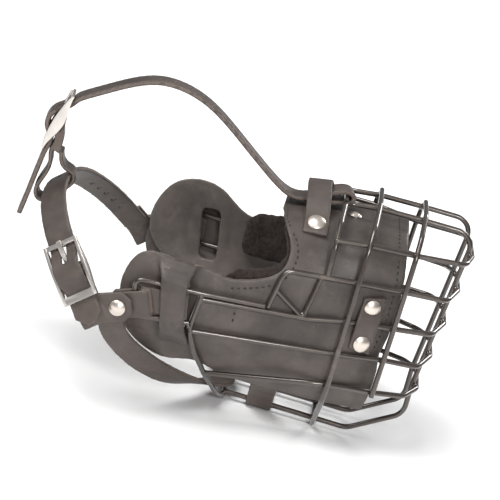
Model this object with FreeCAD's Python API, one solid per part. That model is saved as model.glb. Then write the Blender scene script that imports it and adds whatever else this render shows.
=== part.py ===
import FreeCAD, Part
import math, os
from FreeCAD import Vector as V

# Basket muzzle for a large dog: a welded steel wire basket, a leather nosepiece with a felt
# lining, two leather cheek pads, and a leather harness with two buckles.
# Millimetres. X points to the nose, Y to the dog's left, Z up; the basket stands on its
# two bottom cross wires. "right" is the dog's right side (Y below zero), "left" its left.

# ---------------------------------------------------------------- driving dimensions
WIRE = 2.9             # basket wire diameter
BITE = 0.15            # how far two crossing wires are pressed into each other by the weld
TOP_GAUGE = 30.0       # spacing of the two long wires on top
BOTTOM_GAUGE = 25.6    # and under the jaw
X_NOSE = 53.2          # front corner of the long wires
X_HEEL = -52.0         # rear end of the bottom wires
Z_TOP_REAR, Z_TOP_FRONT = 124.2, 127.4
X_ARCH, X_HOOP_1, X_HOOP_2 = -17.8, 0.0, 25.0
ARM_HALF = 74.4        # half width over the rear arms, at their ends
LEATHER = 2.4          # thickness of nosepiece and cheek pads
SKIN_GAP = 0.2         # leather to wire
FELT = 4.5             # felt lining
STRAP_W, STRAP_T = 14.4, 2.6
FOLD_T = 2.2           # thinner leather of folded straps and tabs
TAB_W = 14.0           # cheek tab width
TAB_REAR = -5.6         # rear end of the cheek tab, from the harness rivet
BUCKLE_L, BUCKLE_W, BUCKLE_IN = 32.0, 18.8, 15.6
PIN_U, PIN_W, PIN_R = 15.5, -1.0, 1.0    # buckle pin: along the frame, outwards, radius
HOLE_D = 2.6           # punched holes
RIVET_CAP = 9.0        # rivet cap diameter
PIVOT_X, PIVOT_Z = -115.0, 54.2          # cheek rivets, where the neck strap turns
RING_TILT = 41.3       # lean of the neck strap's plane
CROWN_YAW = 8.9        # the crown strap runs a little to the right
BUCKLE_LEAN = 21.5     # the neck buckle leans in with the strap

r = WIRE / 2.0
LAP = WIRE - BITE      # centre distance of two welded, crossing wires
A, B = TOP_GAUGE / 2.0, BOTTOM_GAUGE / 2.0
shapes = {}


# ---------------------------------------------------------------- helpers
def rounded(pts, bend):
    """Polyline with every inner corner rounded by an arc."""
    pts = [V(*p) for p in pts]
    bends = bend if isinstance(bend, (list, tuple)) else [bend] * (len(pts) - 2)
    edges, last = [], pts[0]
    for i in range(1, len(pts) - 1):
        a, b, c = pts[i - 1], pts[i], pts[i + 1]
        d1, d2 = (a - b).normalize(), (c - b).normalize()
        ang = d1.getAngle(d2)
        if math.pi - ang < 0.01:
            continue
        reach = bends[i - 1] / math.tan(ang / 2.0)
        reach = min(reach, 0.47 * (a - b).Length, 0.47 * (c - b).Length)
        rad = reach * math.tan(ang / 2.0)
        p1, p2 = b + d1 * reach, b + d2 * reach
        axis = (d1 + d2).normalize()
        centre = b + axis * (rad / math.sin(ang / 2.0))
        mid = centre - axis * rad
        if (p1 - last).Length > 1e-4:
            edges.append(Part.LineSegment(last, p1).toShape())
        edges.append(Part.Arc(p1, mid, p2).toShape())
        last = p2
    edges.append(Part.LineSegment(last, pts[-1]).toShape())
    return Part.Wire(edges)


def rod(pts, bend=8.0, radius=r):
    path = rounded(pts, bend)
    first = path.Edges[0]
    start = first.valueAt(first.FirstParameter)
    along = first.tangentAt(first.FirstParameter)
    ring = Part.Wire([Part.Circle(start, along, radius).toShape()])
    sweep = Part.BRepOffsetAPI.MakePipeShell(path)
    sweep.add(ring)
    sweep.build()
    sweep.makeSolid()
    return sweep.shape()


def mirror(shape):
    return shape.mirror(V(0, 0, 0), V(0, 1, 0))


def spline(pts):
    c = Part.BSplineCurve()
    c.interpolate([V(*p) for p in pts])
    return c


def band(pts, thick, width, ex, ey, ew, origin=V(0, 0, 0), shift=0.0, steps=6):
    """Strap in a plane: a centre line in plane coordinates, thickened in the plane and
    drawn out to its width across it."""
    curve = spline([(a, b, 0) for a, b in pts])
    n = steps * (len(pts) - 1)
    lo, hi = curve.FirstParameter, curve.LastParameter
    up, down = [], []
    for i in range(n + 1):
        t = lo + (hi - lo) * i / n
        p, d = curve.value(t), V(*curve.tangent(t)[0])
        nrm = V(-d.y, d.x, 0)
        up.append(p + nrm * (thick / 2.0))
        down.append(p - nrm * (thick / 2.0))
    base = origin + ew * (shift - width / 2.0)
    put = lambda p: base + ex * p.x + ey * p.y
    c1, c2 = Part.BSplineCurve(), Part.BSplineCurve()
    c1.interpolate([put(p) for p in up])
    c2.interpolate([put(p) for p in down])
    e = [c1.toShape(), Part.LineSegment(put(up[-1]), put(down[-1])).toShape(),
         c2.toShape(), Part.LineSegment(put(down[0]), put(up[0])).toShape()]
    return Part.Face(Part.Wire(Part.__sortEdges__(e))).extrude(ew * width)


def ribbon(pts, across, thick, width, n=12):
    """Strap in space: sections turned to the given width directions."""
    curve = spline(pts)
    lo, hi = curve.FirstParameter, curve.LastParameter
    wires = []
    for i in range(n + 1):
        t = lo + (hi - lo) * i / n
        p, d = curve.value(t), V(*curve.tangent(t)[0])
        k = (len(across) - 1) * i / n
        j = min(int(k), len(across) - 2)
        w = V(*across[j]) * (1 - (k - j)) + V(*across[j + 1]) * (k - j)
        w = (w - d * w.dot(d)).normalize()
        nrm = d.cross(w).normalize()
        c = [p + w * (sx * width / 2.0) + nrm * (sy * thick / 2.0)
             for sx, sy in ((-1, -1), (1, -1), (1, 1), (-1, 1))]
        wires.append(Part.makePolygon(c + [c[0]]))
    return Part.makeLoft(wires, True, False)


def prism(outline, y0, y1, smooth=True, hard=()):
    """Side view outline (x, z) drawn out along Y. Points listed in hard are corners."""
    pts = [V(x, y0, z) for x, z in outline]
    if smooth:
        edges, k = [], sorted(hard)
        for a, b in zip(k, k[1:] + [k[0] + len(pts)]):
            run = [pts[i % len(pts)] for i in range(a, b + 1)]
            if len(run) == 2:
                edges.append(Part.LineSegment(run[0], run[1]).toShape())
            else:
                c = Part.BSplineCurve()
                c.interpolate(run)
                edges.append(c.toShape())
        face = Part.Face(Part.Wire(edges))
    else:
        face = Part.Face(Part.makePolygon(pts + [pts[0]]))
    return face.extrude(V(0, y1 - y0, 0))


def one(shape):
    solids = shape.Solids
    return max(solids, key=lambda s: s.Volume) if solids else shape


# ---------------------------------------------------------------- the basket's inner skin
# Half width inside the side wires, by station (x) and height (z).
STATIONS = (-126.0, -92.0, -60.0, -28.0, 0.0, 27.0)
HALF = {12: (56, 53, 42, 32, 27, 22), 20: (60, 57, 47, 38, 34, 28),
        30: (63.5, 60.5, 53, 46.5, 46, 32.5), 42: (66.5, 66, 59.6, 54.2, 50.3, 34.8),
        54: (68, 69.6, 63.2, 55.8, 49.9, 36.6), 66: (68.2, 70, 63.6, 55.2, 48.4, 37.6),
        78: (68, 69.6, 63, 54.2, 47.2, 37.5), 90: (67.5, 68.6, 61, 51.9, 45.6, 36.8),
        102: (65, 66, 55, 44.6, 42.3, 35.0)}
ROOF = ((-70.0, 108.5), (-51.5, 112.5), (-41.0, 114.0), (-30.0, 115.6), (-12.0, 117.4),
        (0.0, 118.2), (27.0, 119.6))


def lerp(table, x):
    for (x0, v0), (x1, v1) in zip(table, table[1:]):
        if x <= x1 or (x1, v1) == table[-1]:
            return v0 + (v1 - v0) * (x - x0) / (x1 - x0)


def half(x, z):
    row = lambda h: lerp(tuple(zip(STATIONS, HALF[h])), x)
    return lerp(tuple((h, row(h)) for h in sorted(HALF)), z)


def offset(pts, d):
    """Move a run of (y, z) points inwards by d."""
    out = []
    for i, (y, z) in enumerate(pts):
        a, b = pts[max(i - 1, 0)], pts[min(i + 1, len(pts) - 1)]
        ty, tz = b[0] - a[0], b[1] - a[1]
        k = math.hypot(ty, tz)
        out.append((y + tz / k * d, z - ty / k * d))
    return out


def arch(x):
    """Section over the nose from low on the right side to low on the left."""
    roof = lerp(ROOF, x)
    side = [(-half(x, z), z) for z in (48, 57, 66, 78, 90, 99)]
    w = half(x, 99)
    side += [(-w * 0.93, 99 + (roof - 99) * 0.32), (-w * 0.77, 99 + (roof - 99) * 0.68),
             (-w * 0.42, 99 + (roof - 99) * 0.96)]
    return side + [(0.0, roof)] + [(-y, z) for y, z in reversed(side)]


def flank(x):
    """Section of the right side wall, from below to above."""
    return [(-half(x, z), z) for z in (12, 20, 30, 42, 54, 66, 78, 90, 99)]


def shell(section, stations, d0, d1):
    wires = []
    for x in stations:
        outer, inner = offset(section(x), d0), offset(section(x), d1)
        c1, c2 = spline([(x, y, z) for y, z in outer]), spline([(x, y, z) for y, z in inner])
        wires.append(Part.Wire([
            c1.toShape(), Part.LineSegment(c1.EndPoint, c2.EndPoint).toShape(),
            c2.toShape(), Part.LineSegment(c2.StartPoint, c1.StartPoint).toShape()]))
    return Part.makeLoft(wires, True, False)


# ---------------------------------------------------------------- wire basket
def front_x(z):
    """The front of the basket leans forward to the top; this is the long wires' line."""
    return 46.2 + (X_NOSE - 46.2) * (z - 34.0) / (Z_TOP_FRONT - 34.0)


def long_wire(s):
    return rod([(-16.6, s * 51.2, 93.5), (-17.2, s * 48.6, 110.5), (X_ARCH, s * 38, 119.0),
                (X_ARCH, s * A, Z_TOP_REAR), (X_HOOP_1, s * A, 126.5), (X_HOOP_2, s * A, 127.2),
                (X_NOSE, s * A, Z_TOP_FRONT), (front_x(35.0), s * (B + 0.4), 35.0),
                (46.9, s * B, 17.6), (19.0, s * B, 0.0), (X_HEEL, s * B, 0.0)],
               [9, 9, 5, 30, 30, 9, 40, 10, 12])


shapes["long_wire_right"], shapes["long_wire_left"] = long_wire(-1), long_wire(1)
shapes["top_cross_wire"] = rod([(X_ARCH, -A + r - BITE, Z_TOP_REAR), (X_ARCH, A - r + BITE,
                                                                   Z_TOP_REAR)])


def side_wire(run, corner, z_nose):
    """U-shaped wire: right side from the rear, round the bowed front, back on the left."""
    xf = front_x(z_nose) + LAP
    right = [(x, -y, z) for x, y, z in run + [corner, (xf, A + 1.0, z_nose)]]
    left = [(x, -y, z) for x, y, z in reversed(right)]
    soft = [6 if len(run) == 4 and i == 1 else 40 for i in range(1, len(run))]
    return rod(right + left, soft + [7, 9, 9, 7] + soft[::-1])


shapes["side_wire_1"] = side_wire([(-17.2, 48.4, 112.2), (0, 44.2, 113.4), (25, 36.3, 113.0)],
                                  (51.4, 31.6, 114.6), 115.6)
shapes["side_wire_2"] = side_wire([(-42.0, 60.4, 70.4), (-38.6, 57.4, 91.6), (0, 47.3, 93.0),
                                   (25, 38.9, 93.0)], (47.6, 34.4, 93.6), 95.6)
shapes["side_wire_3"] = side_wire([(-75.6, 69.0, 67.4), (-20, 55.0, 69.0), (0, 49.8, 72.0),
                                   (25, 40.0, 72.2)], (45.4, 35.2, 73.6), 75.6)
shapes["side_wire_4"] = side_wire([(-76.8, 68.6, 49.0), (0, 51.7, 53.8), (25, 38.7, 53.4)],
                                  (43.8, 32.6, 53.0), 55.6)
shapes["side_wire_5"] = side_wire([(-64.5, 50.6, 21.8), (0, 52.6, 36.5), (25, 36.0, 33.0)],
                                  (41.8, 29.4, 33.6), 35.4)
hoop_1 = [(-A - 2, 126.5 + LAP), (-40.5, 120.5), (-44.2 - LAP, 112.0), (-47.3 - LAP, 93.0),
          (-49.8 - LAP, 72.0), (-51.7 - LAP, 53.8), (-52.6 - LAP, 36.5), (-50, 26.0),
          (-B - 2, -LAP)]
hoop_1 = [(X_HOOP_1, y, z) for y, z in hoop_1]
ring = hoop_1 + [(x, -y, z) for x, y, z in reversed(hoop_1)]
shapes["hoop_rear"] = rod([(X_HOOP_1, 0, 126.5 + LAP)] + ring[:9] + [(X_HOOP_1, 0, -LAP)],
                          [9, 12, 60, 60, 60, 30, 14, 10, 9])
shapes["hoop_rear"] = one(shapes["hoop_rear"].fuse(mirror(shapes["hoop_rear"])))
hoop_2 = [(-A - 1, 127.2 + LAP), (-33.0, 121.8), (-36.3 - LAP, 112.5), (-38.9 - LAP, 93.0),
          (-40.0 - LAP, 72.2), (-38.7 - LAP, 53.4), (-36.0 - LAP, 31.5)]
hoop_2 = [(X_HOOP_2, y, z) for y, z in hoop_2]
shapes["hoop_front"] = rod(list(reversed(hoop_2)) + [(x, -y, z) for x, y, z in hoop_2],
                           [60, 60, 60, 12, 9, 9, 9, 9, 12, 60, 60, 60][:12])
heel = [(-75.8, -69.4, 69.2), (-77.6, -69.2, 49.6), (-72.2, -62.0, 36.0), (-64.2, -50.6, 21.4),
        (-56.0, -28.0, 4.0), (X_HEEL, -B - 1, -LAP)]
shapes["heel_wire"] = rod(heel + [(x, -y, z) for x, y, z in reversed(heel)],
                          [7, 16, 30, 24, 6, 6, 24, 30, 16, 7])


def arm(s):
    return rod([(-43.5, s * 61.7, 71.2), (-75.6, s * 70.0, 70.7), (-103.0, s * ARM_HALF, 70.5),
                (-110.2, s * (ARM_HALF + 0.6), 69.6), (-106.4, s * (ARM_HALF + 0.4), 50.9),
                (-101.0, s * ARM_HALF, 51.5), (-89.0, s * 72.6, 52.6), (-78.6, s * 70.6, 53.4)],
               [60, 40, 5, 5, 8, 40])


def brace(s):
    return rod([(-40.3, s * 58.8, 80.6), (-24.0, s * 55.9, 69.8)], radius=r - 0.1)


def strut(s):
    return rod([(-19.6, s * 52.2, 91.4), (-22.9, s * 55.6, 70.2)], radius=r - 0.1)


for s, side in ((-1, "right"), (1, "left")):
    shapes["arm_" + side], shapes["brace_" + side] = arm(s), brace(s)
    shapes["strut_" + side] = strut(s)

# ---------------------------------------------------------------- nosepiece and lining
NOSE = [(-52.5, 128), (-50.8, 112.6), (-44.4, 108.4), (-40.2, 102.8), (-38.8, 96.6),
        (-40.6, 89.8), (-46.6, 85.0), (-55.6, 82.0), (-63.6, 80.4), (-61.0, 56.4),
        (22.8, 57.2), (24.4, 75.0), (23.6, 95.0), (20.6, 112.0), (17.8, 128)]
spans = (-70, -58, -48, -38, -26, -13, 0, 13, 27)
nose = shell(arch, spans, SKIN_GAP, SKIN_GAP + LEATHER)
nose = one(nose.common(prism(NOSE, -90, 90, hard=(0, 1, 8, 9, 10, 14))))
shapes["nosepiece"] = nose
LINING = [(-51.6, 128), (-49.8, 112.0), (-43.6, 107.8), (-39.4, 102.4), (-38.0, 96.6),
          (-39.8, 90.4), (-46.0, 85.8), (-54.8, 82.6), (-62.6, 80.6), (-60.2, 58.4),
          (9.0, 60.0), (9.0, 128)]
felt = shell(arch, spans, SKIN_GAP + LEATHER + 0.05, SKIN_GAP + LEATHER + 0.05 + FELT)
shapes["felt_lining"] = one(felt.common(prism(LINING, -90, 90, hard=(0, 1, 8, 9, 10, 11))))


# ---------------------------------------------------------------- cheek pads
def pad(lobe):
    """Right cheek pad with its lower panel; lobe is the outline of its rear lobe."""
    out = [(22.6, 18.0), (1.0, 17.0), (-40.0, 19.4), (-58.0, 23.0), (-72.0, 28.0),
           (-86.0, 26.2), (-98.0, 29.6), (-111.0, 40.5)] + lobe + [
           (-72.0, 82.0), (-64.2, 80.4), (-61.6, 56.0), (-20.0, 55.4), (22.2, 56.4),
           (24.2, 34.0)]
    body = shell(flank, (-126, -112, -98, -84, -70, -56, -42, -28, -14, 0, 13, 27),
                 SKIN_GAP, SKIN_GAP + LEATHER)
    body = body.common(prism(out, -90, 0, hard=(0, 17, 18, 20)))
    window = prism([(-99.5, 75.5), (-80.5, 77.5), (-76.0, 48.0), (-93.5, 46.0)], -90, 0, False)
    body = one(body.cut(window))
    strip = ribbon([(-92.6, -68.2, 82.0), (-92.2, -69.6, 79.4), (-91.4, -74.6, 75.8),
                    (-89.6, -75.7, 68.0), (-87.0, -75.3, 57.0), (-85.4, -74.2, 48.0),
                    (-84.6, -66.8, 43.6), (-84.0, -63.4, 39.6)], [(1, 0.04, 0)] * 2,
                   LEATHER - 0.2, 10.4, 20)
    return one(body.fuse(strip))


shapes["cheek_pad_right"] = pad([(-116.4, 53.0), (-118.2, 64.0), (-116.6, 74.0),
                                 (-111.4, 82.2), (-103.6, 85.0), (-95.0, 84.0),
                                 (-86.5, 83.6), (-81.0, 83.6)])
shapes["cheek_pad_left"] = mirror(pad([(-122.6, 53.0), (-124.8, 64.0), (-122.0, 76.0),
                                       (-115.6, 86.0), (-105.0, 91.6), (-94.5, 92.4),
                                       (-84.6, 89.4), (-78.0, 85.2)]))

# ---------------------------------------------------------------- leather on the basket
up = V(0, 0, 1)


def rivet(at, out, cap, under, dome=1.5):
    """Capped rivet: cap on the outside, shank, flat washer under the leather."""
    a = V(*out).normalize()
    p = V(*at)
    rad = cap / 2.0
    head = Part.makeCylinder(rad, 0.5, p, a).fuse(
        Part.makeSphere((rad * rad + dome * dome) / (2 * dome),
                        p + a * (0.5 + dome - (rad * rad + dome * dome) / (2 * dome)))
        .common(Part.makeCylinder(rad, dome + 1.0, p + a * 0.5, a)))
    shank = Part.makeCylinder(1.7, under + 0.8, p - a * (under + 0.4), a)
    washer = Part.makeCylinder(rad * 0.85, 0.8, p - a * (under + 0.8), a)
    return one(head.fuse([shank, washer]).removeSplitter())


def on_roof(x, y, lift):
    """Height of the nosepiece's outer face, with a strap lying on it."""
    pts = arch(x)[5:10]
    for (y0, z0), (y1, z1) in zip(pts, pts[1:]):
        if y <= y1:
            k = math.hypot(y1 - y0, z1 - z0) / (y1 - y0)
            return z0 + (z1 - z0) * (y - y0) / (y1 - y0) + lift * k


KEEP = [(-29.4, -39.5, on_roof(-29, -39.5, 1.7)), (-29.8, -34.0, on_roof(-29, -34, 1.7)),
        (-30.3, -27.5, on_roof(-30, -27.5, 2.2)), (-31.6, -19.0, 120.6),
        (-33.0, -10.0, 125.4), (-33.8, -3.5, 127.6), (-33.9, 0.0, 127.9)]
KEEP += [(x, -y, z) for x, y, z in reversed(KEEP[:-1])]
shapes["keeper_band"] = ribbon(KEEP, [(1, 0, 0.1), (1, 0, 0.2), (1, 0, 0.1)], FOLD_T, 13.2, 24)
shapes["sling"] = band([(-32.0, 18.5), (-26.0, 12.5), (-20.5, 7.0), (-17.0, 2.5), (-15.6, -1.2),
                        (-12.5, -2.75), (-6, -2.8), (6, -2.8), (12.5, -2.75), (15.6, -1.2),
                        (17.0, 2.5), (20.5, 7.0), (26.0, 12.5), (32.0, 18.5)], 1.8, 14.5,
                       V(0, 1, 0), up, V(1, 0, 0), shift=-31.5)
for s, side in ((-1, "right"), (1, "left")):
    y0, yw = half(11, 80), 45.5 + r + 0.1 + 1.0
    run = [(11.0, y0 + 1.7, 87.0), (11.0, half(11, 81) + 1.8, 81.0), (10.8, yw - 0.6, 76.0),
           (10.7, yw + 0.2, 72.0), (10.6, yw - 0.5, 68.0), (10.5, half(11, 63) + 1.8, 63.0),
           (10.4, half(11, 57) + 1.7, 56.6)]
    shapes["side_tab_" + side] = ribbon([(x, s * y, z) for x, y, z in run],
                                        [(0.93, -s * 0.37, 0)] * 2, 2.0, 12.6, 16)
    for k, z in (("upper", 81.6), ("lower", 61.4)):
        out = V(0.37, s * 0.93, 0)
        at = V(10.8, s * (half(11, z) + 2.95), z)
        shapes["tab_rivet_%s_%s" % (k, side)] = rivet(at, out, RIVET_CAP, 3.0 + LEATHER)
    out = V(0, s * 0.6, 0.8)
    shapes["keeper_rivet_" + side] = rivet(V(-29.9, s * 33.6, on_roof(-30, -33.6, 3.0)), out,
                                           RIVET_CAP + 0.6, FOLD_T + LEATHER + 0.9)
shapes["nose_rivet"] = rivet((-11.0, -8.5, lerp(ROOF, -11.0) - 0.15), (0, 0, 1), 7.6, LEATHER)

# ---------------------------------------------------------------- buckles
c, t = math.cos, math.sin
lean, tilt, yaw = (math.radians(q) for q in (BUCKLE_LEAN, RING_TILT, CROWN_YAW))
S_AX, W_AX = V(-t(tilt), 0, c(tilt)), V(c(tilt), 0, t(tilt))     # up the ring, across it
Y_AX = V(0, 1, 0)
RING_O = V(-132.3, 0, 52.7)
NB_U = S_AX * c(lean) + Y_AX * t(lean)
NB_W = S_AX * t(lean) - Y_AX * c(lean)
NB_O = RING_O + S_AX * 1.4 + Y_AX * -84.7
CR_O = V(-30, 0, 0)                                              # crown plane
CR_X = V(c(yaw), t(yaw), 0)
CR_Y = V(-t(yaw), c(yaw), 0)
TB_U = CR_X * 0.3 + up * 0.954
TB_W = CR_X * -0.954 + up * 0.3
TB_O = CR_O + CR_X * -153.6 + up * 110.6


def moved(shape, o, u, v, w):
    m = FreeCAD.Matrix(u.x, v.x, w.x, o.x, u.y, v.y, w.y, o.y, u.z, v.z, w.z, o.z, 0, 0, 0, 1)
    s = shape.copy()
    s.Placement = FreeCAD.Placement(m).multiply(s.Placement)
    return s


def buckle():
    """Frame in its own axes: x along it from keeper plate to tongue bar, z outwards."""
    L, h, i = BUCKLE_L, BUCKLE_W / 2.0, BUCKLE_IN / 2.0
    top = spline([(0, 0, 0.6), (L * 0.25, 0, 1.9), (L * 0.5, 0, 2.5), (L * 0.75, 0, 1.9),
                  (L, 0, 0.6)])
    low = spline([(L, 0, -0.8), (L * 0.86, 0, -1.2), (L * 0.68, 0, -2.6), (L * 0.5, 0, -3.4),
                  (L * 0.32, 0, -2.6), (L * 0.14, 0, -1.2), (0, 0, -0.8)])
    face = Part.Face(Part.Wire([top.toShape(), Part.LineSegment(V(L, 0, 0.6), V(L, 0, -0.8))
                                .toShape(), low.toShape(),
                                Part.LineSegment(V(0, 0, -0.8), V(0, 0, 0.6)).toShape()]))
    rail = face.extrude(V(0, h - i, 0))
    rails = [rail.translated(V(0, i, 0)), rail.translated(V(0, -h, 0))]
    plate = Part.makeBox(4.0, 2 * h, 1.2, V(0, -h, -0.6))
    bar = Part.makeBox(2.4, 2 * h, 1.4, V(L - 2.4, -h, -0.8))
    pin = Part.makeCylinder(PIN_R, 2 * h - 1, V(PIN_U, -h + 0.5, PIN_W), V(0, 1, 0))
    return one(rails[0].fuse([rails[1], plate, bar, pin]).removeSplitter())


def tongue():
    """Flat steel prong rolled round the pin, its tip resting on the tongue bar."""
    eye = Part.makeCylinder(PIN_R + 1.25, 2.6, V(PIN_U, -1.3, PIN_W), V(0, 1, 0))
    eye = eye.cut(Part.makeCylinder(PIN_R + 0.33, 4, V(PIN_U, -2, PIN_W), V(0, 1, 0)))
    run = [(PIN_U + 1.7, PIN_W + 0.2), (21.0, 0.1), (26.0, 1.3), (BUCKLE_L - 1.0, 1.65),
           (BUCKLE_L + 0.4, 1.55)]
    prong = band(run, 1.2, 2.4, V(1, 0, 0), V(0, 0, 1), V(0, -1, 0))
    return one(eye.fuse(prong).removeSplitter())


shapes["neck_buckle"] = moved(buckle(), NB_O, NB_U, W_AX * -1, NB_W)
shapes["neck_tongue"] = moved(tongue(), NB_O, NB_U, W_AX * -1, NB_W)
shapes["crown_buckle"] = moved(buckle(), TB_O, TB_U, CR_Y, TB_W)
shapes["crown_tongue"] = moved(tongue(), TB_O, TB_U, CR_Y, TB_W)

# ---------------------------------------------------------------- straps
# How a strap threads a buckle: under the keeper plate, over the pin, under the tongue bar.
THREAD = [(-12.5, -2.5), (-6, -2.5), (0.5, -2.45), (4.2, -2.25), (6.8, -0.9), (8.8, 1.4),
          (11.0, 3.6), (13.3, 4.7), (15.6, 5.0), (18.0, 4.7), (20.8, 3.4), (24.0, 0.8),
          (27.0, -1.6), (30.2, -2.8), (34.0, -3.2)]
# The strap that carries the buckle folds round the pin under it.
FOLD = [(1.0, -8.0), (5.5, -7.7), (10.1, -5.95), (13.0, -4.2), (15.5, -3.45), (17.4, -2.6),
        (18.0, -1.0), (17.4, 0.7), (15.5, 1.45), (13.3, 0.9), (11.2, -1.1), (8.8, -3.6),
        (5.0, -5.0), (0.0, -5.3)]


def ring_xy(u, w):
    """Neck buckle axes to ring plane axes (up the ring, across the dog)."""
    return (1.4 + u * c(lean) + w * t(lean), -84.7 + u * t(lean) - w * c(lean))


def crown_xz(u, w):
    return (-153.6 + 0.3 * u - 0.954 * w, 110.6 + 0.954 * u + 0.3 * w)


def punched(strap, run, holes, ex, ey, origin, ew, shift=0.0, slot=0.0):
    """Holes through a plane strap at fractions of its centre line."""
    curve = spline([(a, b, 0) for a, b in run])
    lo, hi = curve.FirstParameter, curve.LastParameter
    for f in holes:
        p, d = curve.value(lo + (hi - lo) * f), V(*curve.tangent(lo + (hi - lo) * f)[0])
        nrm = ex * -d.y + ey * d.x
        at = origin + ex * p.x + ey * p.y + ew * shift
        strap = strap.cut(Part.makeCylinder(HOLE_D / 2.0, 8, at - nrm * 4, nrm))
    return strap


neck_run = [ring_xy(u, w) for u, w in THREAD] + [
    (41.0, -62.0), (48.5, -51.5), (53.0, -38.0), (54.6, -22.0), (53.8, -8.0), (51.0, 4.0),
    (46.0, 17.5), (39.0, 30.5), (30.5, 43.5), (20.5, 55.5), (11.0, 64.5), (1.0, 72.9)]
neck = band(neck_run, STRAP_T, STRAP_W, S_AX, Y_AX, W_AX, RING_O)


def trim_tip(strap, o, u, v, w):
    """Pointed strap end: both corners cut away."""
    for k in (-1, 1):
        tri = Part.Face(Part.makePolygon([V(-14, k * 2.2, -8), V(-12.4, k * 2.2, -8),
                                          V(-7.0, k * 8.4, -8), V(-14, k * 8.4, -8),
                                          V(-14, k * 2.2, -8)])).extrude(V(0, 0, 16))
        strap = strap.cut(moved(tri, o, u, v, w))
    return strap


def slit(strap, o, u, v, w, u0, u1, wide):
    """Oblong hole that the tongue passes through."""
    box = Part.makeBox(u1 - u0, wide, 16, V(u0, -wide / 2.0, -5))
    return strap.cut(moved(box, o, u, v, w))


neck = trim_tip(neck, NB_O, NB_U, W_AX * -1, NB_W)
neck = slit(neck, NB_O, NB_U, W_AX * -1, NB_W, 20.0, 29.4, 3.4)
neck = punched(neck, neck_run, (0.49, 0.545, 0.60, 0.73, 0.775, 0.82, 0.865, 0.91),
               S_AX, Y_AX, RING_O, W_AX)
shapes["neck_strap"] = one(neck)

# Crown strap, from its lap under the keeper round the cross wire, over the head, through
# the crown buckle to its hanging end.
crown_run = [
    (0.5, 118.7), (7.5, 120.4), (12.1, 121.15), (14.4, 122.1), (15.25, 124.2), (14.4, 126.3),
    (12.1, 127.3), (7.5, 126.6), (2.0, 124.0), (-4.0, 120.6), (-11.0, 117.9), (-18.0, 118.0),
    (-26.0, 121.6), (-36.0, 128.4), (-48.2, 137.4), (-60.6, 146.5), (-73.6, 154.4),
    (-87.4, 159.0), (-101.8, 159.4), (-116.4, 154.2), (-128.8, 147.2), (-136.6, 142.6)]
crown_run += [crown_xz(u, w) for u, w in reversed(THREAD[3:-1])]
crown_run += [(-151.6, 108.8), (-152.6, 103.0), (-153.6, 96.0), (-155.2, 84.0), (-157.2, 71.0)]
crown = band(crown_run, STRAP_T, STRAP_W, CR_X, up, CR_Y, CR_O)
crown = slit(crown, TB_O, TB_U, CR_Y, TB_W, 20.0, 29.4, 3.4)
crown = punched(crown, crown_run, (0.27, 0.305, 0.34, 0.37, 0.40, 0.43, 0.46, 0.49, 0.52, 0.55),
                CR_X, up, CR_O, CR_Y)
shapes["crown_strap"] = one(crown)

# Loop strap: carries the crown buckle and hangs round the neck strap.
loop_run = [crown_xz(u, w) for u, w in FOLD] + [
    (-147.8, 105.0), (-147.6, 100.5), (-149.2, 94.5), (-151.2, 88.6), (-151.0, 84.0),
    (-148.6, 81.6), (-145.0, 82.6), (-139.8, 87.2), (-135.2, 92.4), (-133.2, 96.2),
    (-134.2, 99.4), (-137.4, 101.0), (-140.4, 102.8), (-142.2, 105.8), (-142.8, 109.8)]
loop = band(loop_run, FOLD_T, 14.0, CR_X, up, CR_Y, CR_O)
loop = slit(loop, TB_O, TB_U, CR_Y, TB_W, PIN_U - 3.2, PIN_U + 8, 3.6)
shapes["loop_strap"] = one(loop)

# Buckle strap: folds round the neck buckle's pin, turns down and is riveted at the cheek.
Y_HOLD = 80.2
hold_run = [ring_xy(u, w) for u, w in FOLD] + [(-5.0, -0.4 - Y_HOLD), (-14.5, -Y_HOLD)]
hold = band(hold_run, FOLD_T, STRAP_W, S_AX, Y_AX, W_AX, RING_O)
hold = slit(hold, NB_O, NB_U, W_AX * -1, NB_W, PIN_U - 3.2, PIN_U + 8, 3.6)
CHEEK_X, CHEEK_Z = V(0.938, 0, 0.347), V(-0.347, 0, 0.938)
PIVOT = V(PIVOT_X, 0, PIVOT_Z)


def plate(s, rear):
    """Riveted end with clipped corners, lying outside the cheek tab."""
    o = PIVOT + V(0, s * Y_HOLD - FOLD_T / 2.0, 0)
    pts = [(rear, -7.9), (3.2, -7.9), (7.6, -3.6), (7.6, 3.6), (3.2, 7.9), (rear, 7.9)]
    pts = [o + CHEEK_X * a + CHEEK_Z * b for a, b in pts]
    return Part.Face(Part.makePolygon(pts + [pts[0]])).extrude(V(0, FOLD_T, 0))


def pivot_hole(shape, s):
    return shape.cut(Part.makeCylinder(2.1, 30, PIVOT + V(0, s * 70, 0), V(0, s, 0)))


shapes["buckle_strap"] = one(pivot_hole(hold.fuse(plate(-1, -16.0)), -1))
far_run = [(9.4, 69.2), (6.6, 71.5), (3.6, 73.9), (-0.4, 77.0), (-3.6, 79.2),
           (-7.0, Y_HOLD), (-14.0, Y_HOLD)]
far = band(far_run, FOLD_T, STRAP_W + 1.6, S_AX, Y_AX, W_AX, RING_O)
shapes["hinge_strap"] = one(pivot_hole(far.fuse(plate(1, -15.0)), 1))

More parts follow.
